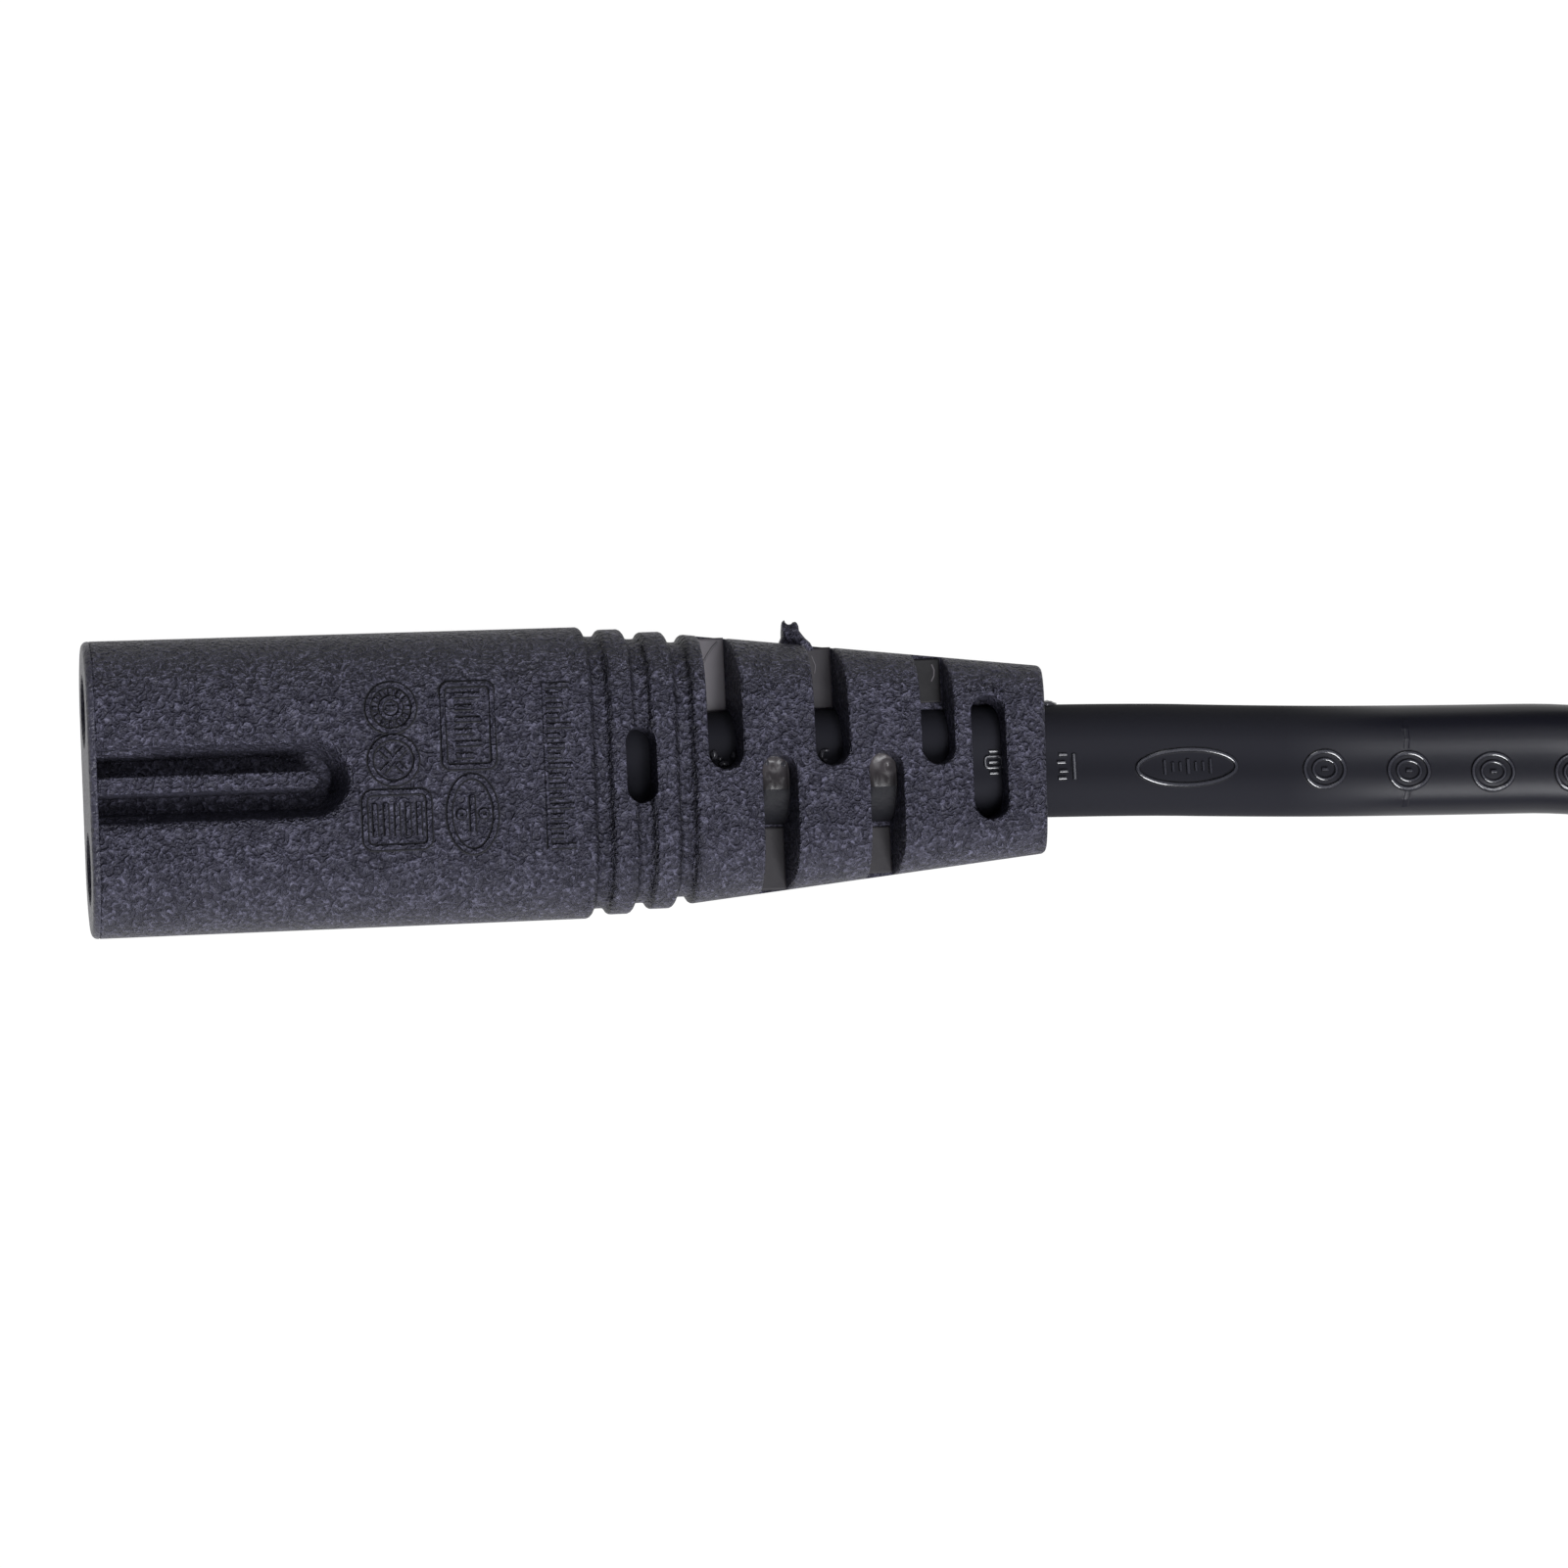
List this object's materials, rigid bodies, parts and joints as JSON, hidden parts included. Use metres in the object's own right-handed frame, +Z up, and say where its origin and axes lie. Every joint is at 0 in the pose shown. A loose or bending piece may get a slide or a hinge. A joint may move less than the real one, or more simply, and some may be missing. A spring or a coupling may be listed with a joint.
{
  "type": "power cord",
  "caption": "Flat mains lead: slim figure-8 connector with a slotted strain relief, cord in a tied hank, and a flat two-pin plug.",
  "frame": {"origin": "middle of the connector's box, on the surface it lies on", "axes": "+X from the connector's front face along the lead, +Z up through its broad face, +Y to the left looking along +X"},
  "size_m": [0.2455, 0.0551, 0.0265],
  "materials": {
    "body_pvc": "fine spark-eroded grain",
    "carrier_plastic": "matte",
    "cord_sheath": "semi-gloss",
    "contact_metal": "tinned",
    "copper_wire": "bare stranded copper",
    "core_brown": "satin",
    "core_blue": "satin",
    "tie_plastic": "satin",
    "pin_metal": "nickel plated",
    "sleeve_plastic": "semi-gloss"
  },
  "bodies": {
    "root": {"connector_body": "body_pvc", "connector_carrier": "carrier_plastic", "contact_sleeve_left": "contact_metal", "contact_sleeve_right": "contact_metal", "connector_wire_left": "copper_wire", "connector_wire_right": "copper_wire", "connector_core_left": "core_brown", "connector_core_right": "core_blue", "cord_lead": "cord_sheath", "cord_hank": "cord_sheath", "cord_tail": "cord_sheath", "hank_tie": "tie_plastic", "plug_body": "body_pvc", "plug_bridge": "carrier_plastic", "plug_pin_left": "pin_metal", "plug_pin_right": "pin_metal", "plug_pin_sleeve_left": "sleeve_plastic", "plug_pin_sleeve_right": "sleeve_plastic", "plug_wire_left": "copper_wire", "plug_wire_right": "copper_wire", "plug_core_left": "core_brown", "plug_core_right": "core_blue"}
  },
  "joints": []
}
